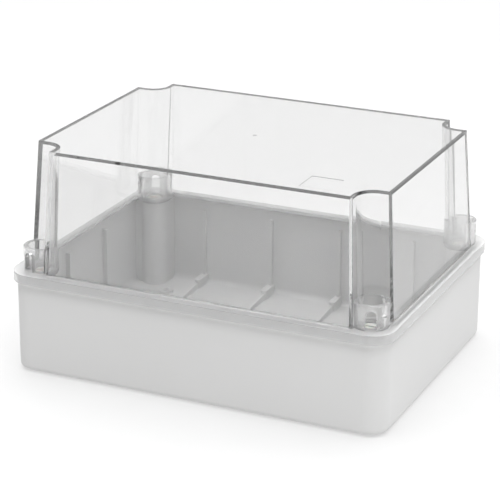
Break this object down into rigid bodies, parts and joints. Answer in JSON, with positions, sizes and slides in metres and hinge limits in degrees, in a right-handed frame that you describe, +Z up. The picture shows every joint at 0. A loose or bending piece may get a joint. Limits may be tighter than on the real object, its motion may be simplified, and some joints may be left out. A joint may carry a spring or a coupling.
{
  "type": "hinged enclosure",
  "caption": "Hinged surface-mount enclosure: light grey thermoplastic base, deep clear polycarbonate lid with corner flutes, quarter-turn lid screws",
  "frame": {"origin": "middle of the underside of the base", "axes": "+X along the long side, +Y toward the hinge side, +Z up through the lid"},
  "size_m": [0.318, 0.24, 0.181],
  "materials": {
    "base_plastic": "fine spark-eroded matt",
    "clear_lid": "clear polished polycarbonate",
    "seal": "matt elastomer",
    "nylon": "satin moulded nylon",
    "steel": "plain"
  },
  "bodies": {
    "base": {"base": "base_plastic"},
    "hinge_posts": {"rear_left_hinge_post": "nylon", "rear_right_hinge_post": "nylon", "rear_left_hinge_pin": "steel", "rear_right_hinge_pin": "steel", "rear_left_stop_ring": "steel", "rear_right_stop_ring": "steel"},
    "lid": {"lid": "clear_lid", "lid_gasket": "seal", "rear_left_hinge_head": "nylon", "rear_right_hinge_head": "nylon", "rear_left_hinge_seal": "seal", "rear_right_hinge_seal": "seal", "rear_left_hinge_washer": "steel", "rear_right_hinge_washer": "steel"},
    "front_left_screw": {"front_left_screw": "nylon", "front_left_screw_seal": "seal", "front_left_screw_washer": "steel", "front_left_cross_pin": "steel"},
    "front_right_screw": {"front_right_screw": "nylon", "front_right_screw_seal": "seal", "front_right_screw_washer": "steel", "front_right_cross_pin": "steel"}
  },
  "joints": [
    {"name": "hinge_lift", "type": "slide", "parent": "base", "child": "hinge_posts", "axis": [0, 0, 1], "range_m": [0, 0.0472]},
    {"name": "lid_hinge", "type": "hinge", "parent": "hinge_posts", "child": "lid", "pos_m": [0, 0.098, 0.063], "axis": [-1, 0, 0], "range_deg": [0, 100]},
    {"name": "front_left_turn", "type": "hinge", "parent": "lid", "child": "front_left_screw", "pos_m": [-0.138, -0.098, 0.078], "axis": [0, 0, 1], "range_deg": [0, 90]},
    {"name": "front_right_turn", "type": "hinge", "parent": "lid", "child": "front_right_screw", "pos_m": [0.138, -0.098, 0.078], "axis": [0, 0, 1], "range_deg": [0, 90]}
  ],
  "couplings": [
    {"joint": "hinge_lift", "follows": "lid_hinge", "m_per_rad": 0.027}
  ]
}
